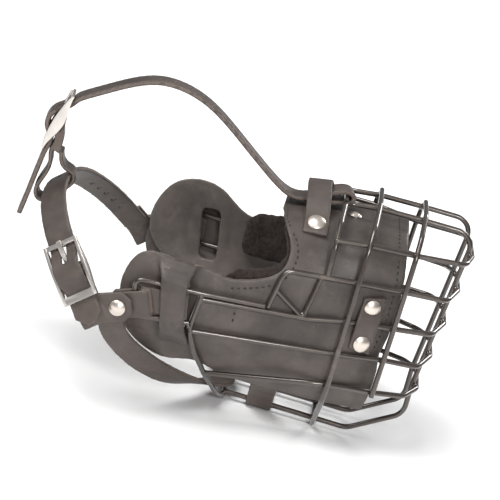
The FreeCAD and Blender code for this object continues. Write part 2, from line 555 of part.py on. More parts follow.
for s, side in ((-1, "right"), (1, "left")):
    # Cheek tab: folded round the arm's end wire, both ends under the rivet.
    yo, yi = 77.3, 71.5
    run = [(TAB_REAR, yi), (0.0, yi), (8.0, yi + 0.05), (12.5, yi + 0.15), (15.0, yi + 0.9),
           (16.2, 74.4), (15.0, yo - 0.9), (12.5, yo - 0.15), (8.0, yo - 0.05), (0.0, yo),
           (TAB_REAR, yo)]
    tab = band([(a, s * b) for a, b in run], FOLD_T, TAB_W, CHEEK_X, Y_AX, CHEEK_Z, PIVOT)
    for e in (-1, 1):
        # Clipped rear corners, so the harness strap swings past them.
        corner = [(TAB_REAR - 2.4, e * (TAB_W / 2 + 2.0)), (TAB_REAR - 2.4, e * 1.2),
                  (-0.2, e * (TAB_W / 2 + 2.0))]
        corner = [PIVOT + V(0, s * 60, 0) + CHEEK_X * a + CHEEK_Z * b for a, b in corner]
        tab = tab.cut(Part.Face(Part.makePolygon(corner + [corner[0]])).extrude(
            V(0, s * 30, 0)))
    hole = Part.makeCylinder(1.7, 30, PIVOT + V(0, s * 60, 0), V(0, s, 0))
    shapes["cheek_tab_" + side] = one(tab.cut(hole))
    shapes["cheek_rivet_" + side] = rivet(V(PIVOT_X, s * (Y_HOLD + 1.1 + 0.4), PIVOT_Z),
                                          (0, s, 0), RIVET_CAP - 0.6, 11.36)

# Throat strap: from cheek to cheek, across the bottom wires behind the chin.
throat = [(-117.6, -74.4, 58.6), (-117.6, -74.4, 53.4), (-118.0, -74.3, 47.0),
          (-115.2, -73.6, 39.6), (-106.0, -69.4, 30.0), (-94.5, -60.5, 21.2),
          (-82.5, -49.5, 14.2),
          (-72.5, -38.5, 9.8), (-64.6, -27.0, 6.8), (-58.6, -16.0, 4.6), (-55.2, -7.5, 3.5),
          (-54.6, 0.0, 3.1)]
throat += [(x, -y, z) for x, y, z in reversed(throat[:-1])]
turn = [(1, 0, 0), (1, 0, 0.1), (0.76, 0, 0.65), (0.86, 0.1, 0.5), (0.95, 0.16, 0.25),
        (1, 0.1, 0.06), (1, 0, 0)]
turn += [(x, -y, z) for x, y, z in reversed(turn[:-1])]
strap = ribbon(throat, turn, FOLD_T, 13.6, 40)
for s in (-1, 1):
    strap = strap.cut(Part.makeCylinder(1.7, 8, PIVOT + V(0, s * 70.4, 0), V(0, s, 0)))
shapes["throat_strap"] = one(strap)

# ---------------------------------------------------------------- seats and weld notches
def seat(names, around):
    """Cut each named piece back to the surface of the pieces it is welded or riveted to."""
    for n in names:
        for a in around:
            if shapes[n].BoundBox.intersect(shapes[a].BoundBox):
                shapes[n] = one(shapes[n].cut(shapes[a]))


sides = ["side_wire_%d" % k for k in range(1, 6)]
seat(["brace_right", "brace_left"], sides)
seat(["strut_right", "strut_left"], sides + ["brace_right", "brace_left"])
seat(["top_cross_wire"], ["long_wire_right", "long_wire_left"])
seat(["hoop_rear", "hoop_front", "heel_wire", "long_wire_right", "long_wire_left"], sides)
seat(["hoop_rear", "hoop_front", "heel_wire"], ["long_wire_right", "long_wire_left"])
wires = sides + ["hoop_rear", "hoop_front", "heel_wire", "arm_right", "arm_left",
                 "long_wire_right", "long_wire_left", "top_cross_wire"]
rivets = [n for n in shapes if "rivet" in n]
seat(["keeper_band", "side_tab_right", "side_tab_left"], rivets + wires)
seat(["nosepiece"], rivets + wires)
seat(["felt_lining"], rivets + ["keeper_band", "nosepiece"])
seat(["cheek_pad_right", "cheek_pad_left", "cheek_tab_right", "cheek_tab_left", "throat_strap",
      "sling", "crown_strap"], wires)
seat(["side_tab_right", "side_tab_left"], ["nosepiece"])
seat(["keeper_band"], ["nosepiece"])
seat(["crown_strap"], ["nose_rivet"])
seat(["neck_strap"], ["buckle_strap"])
seat(["loop_strap"], ["neck_strap"])

# ---------------------------------------------------------------- the frame's origin, export
boxes = [s.optimalBoundingBox(True, False) for s in shapes.values()]
mid = [(min(getattr(b, k + "Min") for b in boxes) + max(getattr(b, k + "Max") for b in boxes)) / 2
       for k in "XY"]
shift = V(-mid[0], -mid[1], -min(b.ZMin for b in boxes))
print("shift", shift, "size", [max(getattr(b, k + "Max") for b in boxes) -
                              min(getattr(b, k + "Min") for b in boxes) for k in "XYZ"])
os.makedirs("parts", exist_ok=True)
for name, shape in shapes.items():
    shape = shape.translated(shift)
    if not shape.isValid() or len(shape.Solids) != 1:
        print("CHECK", name, shape.isValid(), len(shape.Solids))
    shape.exportStep("parts/%s.step" % name)
print(len(shapes), "parts")
for n, p in (("pivot", PIVOT), ("neck_pin", NB_O + NB_U * PIN_U + NB_W * PIN_W),
             ("crown_pin", TB_O + TB_U * PIN_U + TB_W * PIN_W)):
    print(n, p + shift)
print("axes", W_AX, CR_Y, NB_U, TB_U)
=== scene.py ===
import bpy, bmesh, math
import numpy as np
from mathutils import Vector, Matrix, noise
from mathutils.bvhtree import BVHTree
from mathutils.kdtree import KDTree


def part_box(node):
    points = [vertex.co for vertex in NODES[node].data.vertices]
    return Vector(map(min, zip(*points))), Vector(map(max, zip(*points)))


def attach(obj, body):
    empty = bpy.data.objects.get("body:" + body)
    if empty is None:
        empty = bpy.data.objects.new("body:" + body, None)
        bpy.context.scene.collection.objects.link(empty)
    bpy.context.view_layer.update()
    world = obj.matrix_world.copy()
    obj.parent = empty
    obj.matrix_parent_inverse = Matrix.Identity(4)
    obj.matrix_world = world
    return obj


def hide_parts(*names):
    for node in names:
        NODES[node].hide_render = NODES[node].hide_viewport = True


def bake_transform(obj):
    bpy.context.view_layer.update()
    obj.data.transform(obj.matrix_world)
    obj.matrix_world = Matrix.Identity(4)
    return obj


# Basket muzzle: the welded wire basket, its rivets and buckles come from the CAD frame;
# every leather and felt piece is dressed here from its own CAD solid.

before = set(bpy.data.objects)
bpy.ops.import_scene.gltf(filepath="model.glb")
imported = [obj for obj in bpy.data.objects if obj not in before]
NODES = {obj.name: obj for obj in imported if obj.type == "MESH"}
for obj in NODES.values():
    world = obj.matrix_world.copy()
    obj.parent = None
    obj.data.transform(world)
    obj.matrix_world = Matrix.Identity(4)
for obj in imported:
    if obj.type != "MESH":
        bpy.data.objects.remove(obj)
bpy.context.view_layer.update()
MM = 0.001

# The basket's own origin: the rear hoop, between the bottom wires. Values below are mm from it.
_lo, _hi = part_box("hoop_rear")
HOME = Vector(((_lo.x + _hi.x) / 2, (_lo.y + _hi.y) / 2, _lo.z + 4.2 * MM))

LEATHER_THICK = 2.4      # nosepiece and cheek pads
STITCH_PITCH = 3.1       # thread stitches along the nosepiece
STITCH_LONG = 1.9
STITCH_WIDE = 1.05
BEAD = 1.75              # weld bead radius


def at(x, y, z):
    return HOME + Vector((x, y, z)) * MM


# ---------------------------------------------------------------- finishes
class Field:
    """A shader socket that takes part in arithmetic."""

    def __init__(self, finish, socket):
        self.finish, self.socket = finish, socket

    def _op(self, name, other=0.0, swap=False, clamp=False):
        pair = [other, self] if swap else [self, other]
        return self.finish.make("ShaderNodeMath", {"operation": name, "use_clamp": clamp}, pair)

    def __add__(self, o): return self._op("ADD", o)
    def __radd__(self, o): return self._op("ADD", o, True)
    def __sub__(self, o): return self._op("SUBTRACT", o)
    def __rsub__(self, o): return self._op("SUBTRACT", o, True)
    def __mul__(self, o): return self._op("MULTIPLY", o)
    def __rmul__(self, o): return self._op("MULTIPLY", o, True)
    def __truediv__(self, o): return self._op("DIVIDE", o)
    def __rtruediv__(self, o): return self._op("DIVIDE", o, True)
    def __pow__(self, o): return self._op("POWER", o)
    def __gt__(self, o): return self._op("GREATER_THAN", o)
    def __lt__(self, o): return self._op("LESS_THAN", o)

    def clip(self):
        return self._op("ADD", 0.0, clamp=True)

    def most(self, o):
        return self._op("MAXIMUM", o)


class Finish:
    """One material: a Principled shader and the expressions that feed it."""

    def __init__(self, name, **fixed):
        self.material = bpy.data.materials.new(name)
        self.material.use_nodes = True
        self.tree = self.material.node_tree
        self.tree.nodes.clear()
        end = self.tree.nodes.new("ShaderNodeOutputMaterial")
        self.shader = self.tree.nodes.new("ShaderNodeBsdfPrincipled")
        self.tree.links.new(self.shader.outputs[0], end.inputs[0])
        for key, value in fixed.items():
            self.shader.inputs[key.replace("_", " ")].default_value = value
        self.place = self.make("ShaderNodeTexCoord", {}, {}, "Object")

    def make(self, kind, settings=None, values=None, out=0):
        """Any node: its type, its settings (a ramp's stops included), its sockets."""
        node = self.tree.nodes.new(kind)
        for key, value in (settings or {}).items():
            if key == "stops":
                ramp = node.color_ramp.elements
                while len(ramp) < len(value):
                    ramp.new(0.5)
                for stop, (pos, grey) in zip(ramp, value):
                    stop.position, stop.color = pos, (grey, grey, grey, 1)
            else:
                setattr(node, key, value)
        pairs = values.items() if isinstance(values, dict) else enumerate(values or [])
        for key, value in pairs:
            if isinstance(value, Field):
                self.tree.links.new(value.socket, node.inputs[key])
            else:
                node.inputs[key].default_value = value
        return Field(self, node.outputs[out])

    def noise(self, scale, detail=3.0, rough=0.55, place=None, warp=0.0):
        return self.make("ShaderNodeTexNoise", {}, {"Vector": place or self.place, "Scale": scale,
                         "Detail": detail, "Roughness": rough, "Distortion": warp})

    def cells(self, scale, feature="F1", place=None):
        return self.make("ShaderNodeTexVoronoi", {"feature": feature},
                         {"Vector": place or self.place, "Scale": scale}, "Distance")

    def mark(self, name):
        return self.make("ShaderNodeAttribute", {"attribute_name": name}, {}, "Fac")

    def band(self, field, low, high):
        """0 below low, 1 above high, smooth between."""
        return self.make("ShaderNodeMapRange", {"interpolation_type": "SMOOTHSTEP"},
                         [field, low, high, 0.0, 1.0])

    def tint(self, share, first, second):
        first, second = [c if isinstance(c, Field) else (*c, 1.0) for c in (first, second)]
        return self.make("ShaderNodeMix", {"data_type": "RGBA"}, {0: share, 6: first, 7: second},
                         2)

    def feed(self, **fields):
        for key, field in fields.items():
            self.tree.links.new(field.socket, self.shader.inputs[key.replace("_", " ")])

    def bump(self, height, strength, depth):
        self.feed(Normal=self.make("ShaderNodeBump", {}, {"Height": height,
                                   "Strength": strength, "Distance": depth}))


def leather_finish(name, dark, light, raw, grain=1.0):
    """Drum-dyed leather: fine pebbled grain, soft sheen, paler worn high spots, raw edges."""
    f = Finish(name, Coat_Weight=0.12, Coat_Roughness=0.36, Specular_IOR_Level=0.44)
    pebble = f.cells(1500.0 * grain)
    fine = f.noise(2600.0 * grain, 4.0, 0.6)
    cloud = f.noise(26.0, 4.0, 0.6)
    patch = f.noise(95.0, 5.0, 0.65, warp=0.6)
    long = f.noise(240.0, 3.0, 0.6, place=f.make("ShaderNodeMapping", {}, {
        "Vector": f.place, "Scale": (0.35, 1.0, 1.4)}))
    scuff = f.band(patch, 0.55, 0.74) * f.band(fine, 0.35, 0.7)
    edge = f.mark("cut_edge")
    fibre = f.noise(900.0, 5.0, 0.7)
    tone = (cloud * 1.9 + fine * 0.35 + patch * 0.6 - 0.98).clip()
    dust = f.band(f.cells(340.0 * grain), 0.045, 0.02)
    skin = f.tint(tone, dark, light)
    skin = f.tint((scuff * 0.4).clip(), skin, tuple(min(1.0, c * 1.5) for c in light))
    skin = f.tint((f.band(long, 0.6, 0.8) * 0.35).clip(), skin, tuple(c * 0.6 for c in dark))
    skin = f.tint((dust * 0.35).clip(), skin, tuple(min(1.0, c * 2.6) for c in light))
    skin = f.tint((edge * (0.45 + fibre * 0.5)).clip(), skin, raw)
    f.feed(Base_Color=skin,
           Roughness=(0.40 + fine * 0.14 + long * 0.08 + edge * 0.25 - scuff * 0.06).clip())
    f.bump((1.0 - pebble) * 0.5 * (1.0 - edge * 0.8) + fine * 0.35 + long * 0.35
           + fibre * edge * 0.8 + patch * 2.2 + cloud * 6.0, 0.30, 0.00022)
    return f.material


def felt_finish(name, dark, light):
    """Thick pressed felt: matted short fibres, slightly paler on the nap."""
    f = Finish(name, Sheen_Weight=0.08, Sheen_Roughness=0.5, Specular_IOR_Level=0.12)
    mat, hair = f.noise(260.0, 6.0, 0.7, warp=1.2), f.noise(1500.0, 5.0, 0.75, warp=2.0)
    nap = f.noise(60.0, 3.0, 0.6)
    f.feed(Base_Color=f.tint((mat * 1.5 + hair * 1.3 + nap * 0.5 - 1.25).clip(), dark, light),
           Roughness=(0.82 + hair * 0.15).clip())
    f.bump(mat * 0.7 + hair, 0.8, 0.0009)
    return f.material


def wire_finish(name):
    """Round wire under a dark bronze lacquer, drawn marks under it, rubbed in places."""
    f = Finish(name, Coat_Weight=0.85, Coat_Roughness=0.10, Metallic=0.75,
               Specular_IOR_Level=0.5)
    cloud, speck = f.noise(90.0, 4.0, 0.6), f.noise(1400.0, 3.0, 0.6)
    rub = f.band(f.noise(45.0, 5.0, 0.7), 0.58, 0.74)
    base = f.tint((cloud * 0.9 - 0.1).clip(), (0.055, 0.044, 0.038), (0.125, 0.102, 0.089))
    base = f.tint((rub * 0.4).clip(), base, (0.23, 0.195, 0.170))
    f.feed(Base_Color=base, Roughness=(0.24 + speck * 0.14 + rub * 0.08).clip())
    f.bump(speck * 0.4 + cloud * 0.6, 0.12, 0.0002)
    return f.material


def nickel_finish(name, bright, warm, brush, satin):
    """Bright nickel plate with fine handling marks."""
    f = Finish(name, Metallic=1.0, Specular_IOR_Level=0.5)
    cloud, speck = f.noise(160.0, 3.0, 0.6), f.noise(2200.0, 4.0, 0.7)
    lines = f.noise(700.0, 2.0, 0.5, place=f.make("ShaderNodeMapping", {}, {
        "Vector": f.place, "Scale": (0.25, 1.0, 3.0)}))
    wear = f.band(speck, 0.62, 0.8)
    base = f.tint((cloud * 0.8).clip(), (bright, 0.97 * warm * bright, 0.94 * warm ** 2 * bright),
                  tuple(0.78 * bright * c for c in (1.0, 0.96 * warm, 0.92 * warm ** 2)))
    f.feed(Base_Color=f.tint((wear * 0.35).clip(), base, (0.42, 0.39, 0.36)),
           Roughness=(satin + cloud * 0.08 + wear * 0.2 + lines * brush).clip())
    f.bump(speck * 0.4 + lines * 0.6, 0.06, 0.0001)
    return f.material


def thread_finish(name):
    f = Finish(name, Sheen_Weight=0.2, Specular_IOR_Level=0.3)
    twist = f.noise(2400.0, 3.0, 0.6)
    f.feed(Base_Color=f.tint(twist, (0.012, 0.010, 0.009), (0.045, 0.038, 0.033)),
           Roughness=(0.55 + twist * 0.3).clip())
    f.bump(twist, 0.5, 0.0002)
    return f.material


def floor_finish(name):
    f = Finish(name, Specular_IOR_Level=0.1)
    soft = f.noise(2.0, 2.0, 0.5)
    f.feed(Base_Color=f.tint(soft, (0.93, 0.93, 0.93), (0.96, 0.96, 0.96)),
           Roughness=(0.85 + soft * 0.05).clip())
    return f.material


BODY_LEATHER = leather_finish("muzzle body leather", (0.031, 0.0238, 0.0200),
                              (0.118, 0.0965, 0.0845), (0.19, 0.152, 0.128))
STRAP_LEATHER = leather_finish("strap leather", (0.034, 0.0255, 0.0215),
                               (0.112, 0.0875, 0.0755), (0.18, 0.140, 0.118), 1.2)
FELT = felt_finish("lining felt", (0.004, 0.0030, 0.0027), (0.085, 0.064, 0.055))
WIRE = wire_finish("basket wire lacquer")
BUCKLE = nickel_finish("buckle nickel", 0.74, 0.975, 0.10, 0.26)
RIVET = nickel_finish("rivet nickel", 0.80, 0.93, 0.02, 0.30)
THREAD = thread_finish("stitch thread")
FLOOR = floor_finish("pale floor")

# ---------------------------------------------------------------- shared shaping
def welded(node):
    """A node's triangles, joined up, as a new mesh."""
    bm = bmesh.new()
    bm.from_mesh(NODES[node].data)
    bmesh.ops.remove_doubles(bm, verts=bm.verts, dist=2e-6)
    bmesh.ops.dissolve_degenerate(bm, edges=bm.edges, dist=1e-6)
    return bm


def cut_edges(bm, deepest=9.0):
    """1 for a face on a cut edge, 0 on a side: under a side lies only the leather's
    thickness, under a cut edge the whole width."""
    tree = BVHTree.FromBMesh(bm)
    marks = []
    for face in bm.faces:
        start = face.calc_center_median() - face.normal * 0.02 * MM
        hit = tree.ray_cast(start, -face.normal, 0.2)
        marks.append(0 if hit[0] is not None and hit[3] < deepest * MM else 1)
    return marks


def settle(name, mesh, materials, body):
    obj = bpy.data.objects.new(name, mesh)
    bpy.context.scene.collection.objects.link(obj)
    mesh.materials.clear()
    for m in materials:
        mesh.materials.append(m)
    return obj


def finished(obj):
    """Apply the modifiers: the piece becomes a plain mesh."""
    deps = bpy.context.evaluated_depsgraph_get()
    bpy.context.view_layer.update()
    mesh = bpy.data.meshes.new_from_object(obj.evaluated_get(deps))
    old = obj.data
    obj.modifiers.clear()
    obj.data = mesh
    bpy.data.meshes.remove(old)
    return obj


def write_marks(mesh, edge):
    layer = mesh.attributes.new("cut_edge", "FLOAT", "FACE")
    layer.data.foreach_set("value", np.asarray(edge, np.float32))


def plate(bm, corners, thick):
    """Adds a flat four-cornered plate."""
    a, b, c, d = corners
    n = (b - a).cross(d - a).normalized() * thick * MM / 2
    low = [bm.verts.new(p - n) for p in corners]
    top = [bm.verts.new(p + n) for p in corners]
    bm.faces.new(low[::-1])
    bm.faces.new(top)
    for k in range(4):
        j = (k + 1) % 4
        bm.faces.new((low[k], low[j], top[j], top[k]))


def strip(bm, path, widths, thick, across=Vector((1, 0.04, 0))):
    """Adds a leather strip that follows a path, lying flat against it."""
    across = across.normalized()
    rings = []
    for k, (p, w) in enumerate(zip(path, widths)):
        way = (path[min(k + 1, len(path) - 1)] - path[max(k - 1, 0)]).normalized()
        up = across.cross(way).normalized() * thick * MM / 2
        side = across * w * MM / 2
        rings.append([bm.verts.new(p + q) for q in (side + up, -side + up, -side - up,
                                                    side - up)])
    for one, two in zip(rings, rings[1:]):
        for k in range(4):
            j = (k + 1) % 4
            bm.faces.new((one[k], one[j], two[j], two[k]))
    bm.faces.new(rings[0][::-1])
    bm.faces.new(rings[-1])


def skin_over(name, bm, materials, voxel, calm, swell=0.0, swell_steps=0):
    """Voxel skin over everything in bm; swell and shrink back closes narrow seams."""
    mesh = bpy.data.meshes.new(name)
    bmesh.ops.recalc_face_normals(bm, faces=bm.faces)
    bm.to_mesh(mesh)
    bm.free()
    obj = settle(name, mesh, materials, None)
    for k, (grow, cell) in enumerate(((swell, voxel), (-swell, voxel))):
        remesh = obj.modifiers.new("skin", "REMESH")
        remesh.mode, remesh.voxel_size = "VOXEL", cell * MM
        remesh.use_smooth_shade = True
        if not swell:
            break
        move = obj.modifiers.new("swell", "DISPLACE")
        move.strength, move.mid_level = grow * MM, 0.0
    smooth = obj.modifiers.new("calm", "SMOOTH")
    smooth.factor, smooth.iterations = 0.5, calm
    return finished(obj)


def keep_edges(obj):
    """Mark the cut edges of a finished leather piece on its own faces."""
    bm = bmesh.new()
    bm.from_mesh(obj.data)
    marks = cut_edges(bm)
    bm.free()
    write_marks(obj.data, marks)
    obj.data.shade_smooth()


def strap_piece(name, node, more=None, voxel=0.55):
    """A flat strap or tab: its solid with soft, dressed edges."""
    bm = welded(node)
    if more:
        more(bm)
    obj = skin_over(name, bm, [STRAP_LEATHER], voxel, 4)
    keep_edges(obj)
    return obj


def body_leather():
    """Nosepiece and both cheek pads, sewn into one body, with the strip that is cut out
    of each pad and carried over the side wires."""
    bm = bmesh.new()
    for node in ("nosepiece", "cheek_pad_right", "cheek_pad_left"):
        bm.from_mesh(NODES[node].data)
    bmesh.ops.remove_doubles(bm, verts=bm.verts, dist=2e-6)
    tree = BVHTree.FromBMesh(bm)

    def on_pad(x, z, s):
        """Middle of the pad's thickness at a point of its side."""
        hit = tree.ray_cast(at(x, s * 100, z), Vector((0, -s, 0)))
        return hit[0] + Vector((0, -s, 0)) * LEATHER_THICK / 2 * MM

    for s in (-1, 1):
        rear = [on_pad(-101.0, 75.0, s), on_pad(-95.0, 45.4, s)]
        front = [on_pad(-78.8, 77.2, s), on_pad(-74.6, 48.4, s)]
        for first, second, share in ((rear, front, 0.24), (front, rear, 0.26)):
            inner = [p.lerp(q, share) for p, q in zip(first, second)]
            plate(bm, [first[0], inner[0], inner[1], first[1]], LEATHER_THICK - 0.2)
        path = [at(x, s * y, z) for x, y, z in (
            (-91.8, 68.4, 83.0), (-91.8, 69.4, 80.2), (-91.2, 73.2, 77.4), (-90.4, 76.2, 74.0),
            (-89.6, 76.9, 68.0), (-88.4, 76.9, 62.0), (-87.2, 76.4, 56.0), (-86.0, 75.4, 49.6),
            (-85.0, 71.6, 45.6), (-84.6, 67.2, 42.6), (-84.2, 64.0, 39.4))]
        strip(bm, path, (21, 19, 16.5, 14.6, 13.6, 13.2, 13.2, 13.6, 14.2, 14.8, 15.0), 2.2)
    obj = skin_over("muzzle_body_leather", bm, [BODY_LEATHER], 0.97, 4, 0.9)
    mesh = obj.data
    count = len(mesh.vertices)
    co, no = np.zeros(count * 3, np.float32), np.zeros(count * 3, np.float32)
    mesh.vertices.foreach_get("co", co)
    mesh.vertices.foreach_get("normal", no)
    co, no = co.reshape(-1, 3), no.reshape(-1, 3)
    for k in range(count):
        p = Vector(co[k])
        lift = noise.noise(p * 55.0) * 0.28 + noise.noise(p * 140.0) * 0.09
        co[k, 1] += lift * MM
    mesh.vertices.foreach_set("co", co.ravel())
    keep_edges(obj)
    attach(obj, "cage")
    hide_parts("nosepiece", "cheek_pad_right", "cheek_pad_left")
    SKINS["nose"] = obj


def dress(obj, node, body):
    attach(obj, body)
    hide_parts(node)
    return obj


# ---------------------------------------------------------------- leather on the basket
SKINS = {}


LINING_EDGE = [(-51.6, 128.0), (-49.8, 112.0), (-43.6, 107.8), (-39.4, 102.4), (-38.0, 96.6),
               (-39.8, 90.4), (-46.0, 85.8), (-54.8, 82.6), (-62.6, 80.6), (-60.2, 58.4)]


def rolled_out(co):
    """The felt stands out past the leather along the opening, furthest low at the sides."""
    a = np.array(LINING_EDGE[:-1]) * MM
    b = np.array(LINING_EDGE[1:]) * MM
    ab = b - a
    length = np.linalg.norm(ab, axis=1)
    out = np.stack([ab[:, 1], -ab[:, 0]], 1) / length[:, None]
    p = co[:, [0, 2]] - np.array([HOME.x, HOME.z])
    best = np.full(len(p), 1e9)
    push = np.zeros((len(p), 2))
    for k in range(len(a)):
        t = np.clip(((p - a[k]) @ ab[k]) / length[k] ** 2, 0, 1)
        d = np.linalg.norm(p - (a[k] + t[:, None] * ab[k]), axis=1)
        near = d < best
        best[near], push[near] = d[near], out[k]
    t = np.clip(1 - best / (15.0 * MM), 0, 1)
    low = np.clip((92.0 * MM - p[:, 1]) / (14.0 * MM), 0, 1)
    reach = (3.6 + 3.4 * low) * MM * t * t * (3 - 2 * t)
    co[:, 0] += push[:, 0] * reach
    co[:, 2] += push[:, 1] * reach * 0.8
    return co


def coordinates(mesh, what="co"):
    out = np.zeros(len(mesh.vertices) * 3, np.float32)
    mesh.vertices.foreach_get(what, out)
    return out.reshape(-1, 3)


def felt_lining():
    """The lining swells a little all over, each point at most half a millimetre: cloth with inner
    pressure.
    """
    obj = skin_over("felt_lining_soft", welded("felt_lining"), [FELT], 1.7, 5)
    rest = coordinates(obj.data)
    cloth = obj.modifiers.new("swell", "CLOTH")
    cloth.settings.use_pressure = True
    cloth.settings.uniform_pressure_force = 4.0
    cloth.settings.effector_weights.gravity = 0.0
    cloth.settings.quality = 4
    scene = bpy.context.scene
    cloth.point_cache.frame_start, cloth.point_cache.frame_end = 1, 12
    for k in range(1, 11):
        scene.frame_set(k)
    finished(obj)
    scene.frame_set(1)
    move = coordinates(obj.data) - rest
    far = np.linalg.norm(move, axis=1, keepdims=True)
    move *= np.minimum(1.0, 0.5 * MM / np.maximum(far, 1e-9))
    obj.data.vertices.foreach_set("co", (rest + move).ravel())
    obj.data.vertices.foreach_set("co", rolled_out(coordinates(obj.data)).ravel())
    even = obj.modifiers.new("even", "SMOOTH")
    even.factor, even.iterations = 0.5, 9
    sub = obj.modifiers.new("fine", "SUBSURF")
    sub.levels = sub.render_levels = 1
    finished(obj)
    mesh = obj.data
    co, no = coordinates(mesh), coordinates(mesh, "normal")
    for k in range(len(co)):
        p = Vector(co[k])
        lift = noise.noise(p * 420.0) * 0.20 + noise.noise(p * 150.0) * 0.25 - 0.1
        co[k] += no[k] * lift * MM
    mesh.vertices.foreach_set("co", co.ravel())
    mesh.shade_smooth()
    return dress(obj, "felt_lining", "cage")


STRAPS = {"cage": ("keeper_band", "sling", "side_tab_right", "side_tab_left",
                   "cheek_tab_right", "cheek_tab_left", "throat_strap"),
          "harness": ("neck_strap", "buckle_strap", "hinge_strap", "loop_strap")}


def straps():
    def tongue(s):
        """The cheek tab's inner layer runs on between the wires, under the pad's strip."""
        def more(bm):
            plate(bm, [at(x, s * y, z) for x, y, z in (
                (-107.0, 74.3, 67.2), (-92.0, 73.6, 67.6), (-91.0, 73.2, 54.4),
                (-105.4, 74.0, 53.8))], 2.0)
            bmesh.ops.recalc_face_normals(bm, faces=bm.faces)
        return more

    extra = {"cheek_tab_right": tongue(-1), "cheek_tab_left": tongue(1)}
    for body, nodes in STRAPS.items():
        for node in nodes:
            dress(strap_piece(node + "_leather", node, extra.get(node)), node, body)


def crown_strap():
    """Runs between the basket, where it is sewn on, and the harness, so it is left on no body;
    its transform is baked in.
    """
    obj = strap_piece("crown_strap_leather", "crown_strap")
    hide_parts("crown_strap")
    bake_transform(obj)
    return obj


# ---------------------------------------------------------------- metal
def buckles():
    for node, body in (("neck_buckle", "harness"), ("crown_buckle", "harness"),
                       ("neck_tongue", "neck_tongue"), ("crown_tongue", "crown_tongue")):
        bm = welded(node)
        bmesh.ops.dissolve_limit(bm, angle_limit=math.radians(0.5), verts=bm.verts,
                                 edges=bm.edges, delimit={"NORMAL"})
        mesh = bpy.data.meshes.new(node + "_plated")
        bm.to_mesh(mesh)
        bm.free()
        obj = settle(node + "_plated", mesh, [BUCKLE], None)
        bevel = obj.modifiers.new("edge", "BEVEL")
        bevel.width, bevel.segments, bevel.limit_method = 0.28 * MM, 3, "ANGLE"
        bevel.angle_limit = math.radians(35)
        finished(obj)
        obj.data.shade_smooth()
        obj.data.set_sharp_from_angle(angle=math.radians(50))
        dress(obj, node, body)


def carried_nodes():
    """Wires and rivets keep their CAD shape and get their finish."""
    for name, obj in NODES.items():
        if name.startswith(("side_wire", "hoop", "heel", "long_wire", "top_cross", "arm_",
                            "brace", "strut")):
            finish = WIRE
        elif "rivet" in name:
            finish = RIVET
        else:
            continue
        for slot in obj.material_slots:
            slot.material = finish
        obj.data.shade_smooth()
        obj.data.set_sharp_from_angle(angle=math.radians(40))


# ---------------------------------------------------------------- geometry nodes
class Tree:
    """A small geometry node tree with named inputs."""

    def __init__(self, name, inputs):
        self.tree = bpy.data.node_groups.new(name, "GeometryNodeTree")
        face = self.tree.interface
        face.new_socket("Geometry", in_out="INPUT", socket_type="NodeSocketGeometry")
        for label, kind, value in inputs:
            item = face.new_socket(label, in_out="INPUT", socket_type=kind)
            if value is not None:
                item.default_value = value
        face.new_socket("Geometry", in_out="OUTPUT", socket_type="NodeSocketGeometry")
        self.entry = self.tree.nodes.new("NodeGroupInput")
        self.exit = self.tree.nodes.new("NodeGroupOutput")

    def add(self, kind, settings=None, **sockets):
        node = self.tree.nodes.new(kind)
        for key, value in (settings or {}).items():
            setattr(node, key, value)
        for key, value in sockets.items():
            socket = next(s for s in node.inputs if s.name == key.replace("_", " ")
                          and (s.enabled or s.type == "GEOMETRY"))
            if isinstance(value, bpy.types.NodeSocket):
                self.tree.links.new(value, socket)
            else:
                socket.default_value = value
        return node

    def close(self, geometry):
        """Realize Instances and Set Material end every tree."""
        real = self.add("GeometryNodeRealizeInstances", Geometry=geometry)
        coat = self.add("GeometryNodeSetMaterial", Geometry=real.outputs[0],
                        Material=self.entry.outputs["Material"])
        smooth = self.add("GeometryNodeSetShadeSmooth", Geometry=coat.outputs[0])
        self.tree.links.new(smooth.outputs[0], self.exit.inputs[0])
        return self.tree


def stitch_tree():
    """Thread stitches spaced along a line, each lying along it."""
    t = Tree("saddle stitches", [("Pitch", "NodeSocketFloat", 3.0 * MM),
                                 ("Length", "NodeSocketFloat", 1.7 * MM),
                                 ("Width", "NodeSocketFloat", 0.8 * MM),
                                 ("Seed", "NodeSocketInt", 11),
                                 ("Material", "NodeSocketMaterial", None)])
    e = t.entry.outputs
    line = t.add("GeometryNodeMeshToCurve", Mesh=e["Geometry"])
    even = t.add("GeometryNodeResampleCurve", Curve=line.outputs[0])
    mode = next((s for s in even.inputs if s.name == "Mode"), None)
    if mode is not None:
        mode.default_value = "Length"
    else:
        even.mode = "LENGTH"
    t.tree.links.new(e["Pitch"], next(s for s in even.inputs if s.name == "Length"))
    way = t.add("GeometryNodeInputTangent")
    turn = t.add("FunctionNodeAlignRotationToVector", {"axis": "X"}, Vector=way.outputs[0])
    bead = t.add("GeometryNodeMeshIcoSphere", Radius=0.5, Subdivisions=2)
    wobble = t.add("FunctionNodeRandomValue", {"data_type": "FLOAT"}, Seed=e["Seed"])
    lows = [s for s in wobble.inputs if s.name in ("Min", "Max") and s.type == "VALUE"]
    lows[0].default_value, lows[1].default_value = 0.88, 1.12
    factor = next(o for o in wobble.outputs if o.type == "VALUE" and o.enabled)
    long = t.add("ShaderNodeMath", {"operation": "MULTIPLY"})
    t.tree.links.new(e["Length"], long.inputs[0])
    t.tree.links.new(factor, long.inputs[1])
    size = t.add("ShaderNodeCombineXYZ")
    t.tree.links.new(long.outputs[0], size.inputs[0])
    t.tree.links.new(e["Width"], size.inputs[1])
    t.tree.links.new(e["Width"], size.inputs[2])
    put = t.add("GeometryNodeInstanceOnPoints", Points=even.outputs[0],
                Instance=bead.outputs[0], Rotation=turn.outputs[0], Scale=size.outputs[0])
    return t.close(put.outputs[0])


